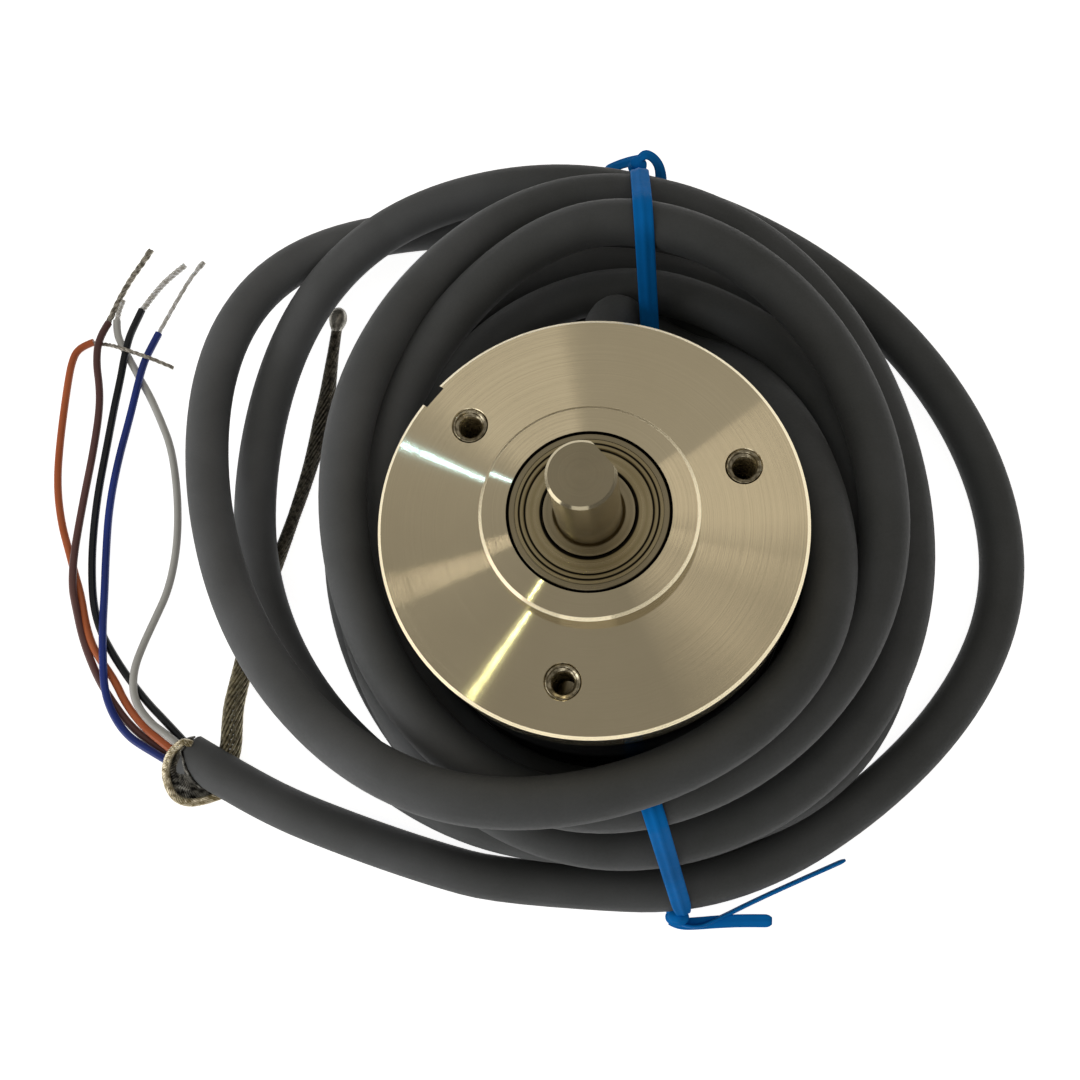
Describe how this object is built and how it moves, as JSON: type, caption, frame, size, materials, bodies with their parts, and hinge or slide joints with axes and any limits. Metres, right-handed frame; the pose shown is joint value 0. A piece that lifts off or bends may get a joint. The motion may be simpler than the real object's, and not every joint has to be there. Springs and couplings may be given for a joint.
{
  "type": "incremental rotary encoder",
  "caption": "Shaft encoder with a turned round flange, pilot boss, shielded ball bearings, flatted shaft, rear cover and a loosely coiled shielded cable with stripped cores.",
  "frame": {"origin": "centre of the rear cover's back face, on the surface that the encoder stands on", "axes": "+Z along the shaft towards its free end, +Y towards the cable gland"},
  "size_m": [0.1178, 0.0932, 0.0545],
  "materials": {
    "turned_aluminium": "face turned on a lathe, fine concentric lines",
    "black_cover": "black satin coating",
    "shaft_steel": "ground stainless steel",
    "bearing_steel": "ground and polished bearing steel",
    "shield_steel": "pressed sheet steel",
    "spring_steel": "dark spring steel",
    "spacer_aluminium": "plain turned",
    "brass": "turned",
    "screw_steel": "zinc plated",
    "disc_glass": "clear with a fine radial pattern",
    "board_green": "glass fibre laminate with solder resist",
    "black_plastic": "moulded",
    "detector_resin": "moulded resin",
    "emitter_resin": "clear resin",
    "header_plastic": "moulded",
    "black_rubber": "moulded, matt",
    "cable_jacket": "dark grey extruded jacket, matt",
    "lead_insulation": "extruded",
    "orange_insulation": "extruded",
    "brown_insulation": "extruded",
    "black_insulation": "extruded",
    "blue_insulation": "extruded",
    "white_insulation": "extruded",
    "tinned_copper": "tinned strands",
    "blue_tie": "extruded ribbon"
  },
  "bodies": {
    "housing": {"flange": "turned_aluminium", "rear_cover": "black_cover", "front_outer_ring": "bearing_steel", "rear_outer_ring": "bearing_steel", "front_upper_shield": "shield_steel", "front_lower_shield": "shield_steel", "rear_upper_shield": "shield_steel", "rear_lower_shield": "shield_steel", "preload_washer": "spring_steel", "bearing_spacer": "spacer_aluminium", "board_post_1": "brass", "board_post_2": "brass", "board_post_3": "brass", "cover_spacer_1": "brass", "cover_spacer_2": "brass", "cover_spacer_3": "brass", "cover_screw_1": "screw_steel", "cover_screw_2": "screw_steel", "cover_screw_3": "screw_steel", "mask_plate": "disc_glass", "circuit_board": "board_green", "sensor_block": "black_plastic", "emitter_bracket": "black_plastic", "line_driver": "black_plastic", "photo_detector": "detector_resin", "board_capacitor": "detector_resin", "emitter_led": "emitter_resin", "wire_header": "header_plastic", "cover_seal": "black_rubber", "cable_gland": "black_rubber", "inner_cable": "cable_jacket", "cable_exit": "cable_jacket", "cable_coil": "cable_jacket", "cable_tail": "cable_jacket", "inner_leads": "lead_insulation", "core_orange": "orange_insulation", "core_brown": "brown_insulation", "core_black": "black_insulation", "core_blue": "blue_insulation", "core_white": "white_insulation", "core_tips": "tinned_copper", "shield_fold": "tinned_copper", "shield_drain": "tinned_copper", "tie_north": "blue_tie", "tie_south": "blue_tie"},
    "rotor": {"shaft": "shaft_steel", "front_inner_ring": "bearing_steel", "rear_inner_ring": "bearing_steel", "inner_spacer": "spacer_aluminium", "retaining_clip": "spring_steel", "disc_hub": "brass", "code_disc": "disc_glass", "disc_clamp": "spacer_aluminium", "hub_set_screw": "screw_steel"},
    "front_ball_set": {"front_balls": "bearing_steel", "front_cage": "shield_steel"},
    "rear_ball_set": {"rear_balls": "bearing_steel", "rear_cage": "shield_steel"}
  },
  "joints": [
    {"name": "shaft_spin", "type": "hinge", "parent": "housing", "child": "rotor", "pos_m": [0, 0, 0.039], "axis": [0, 0, 1], "continuous": true},
    {"name": "front_ball_spin", "type": "hinge", "parent": "housing", "child": "front_ball_set", "pos_m": [0, 0, 0.0405], "axis": [0, 0, 1], "continuous": true},
    {"name": "rear_ball_spin", "type": "hinge", "parent": "housing", "child": "rear_ball_set", "pos_m": [0, 0, 0.03], "axis": [0, 0, 1], "continuous": true}
  ],
  "couplings": [
    {"joint": "front_ball_spin", "follows": "shaft_spin", "ratio": 0.38643},
    {"joint": "rear_ball_spin", "follows": "shaft_spin", "ratio": 0.38643}
  ]
}
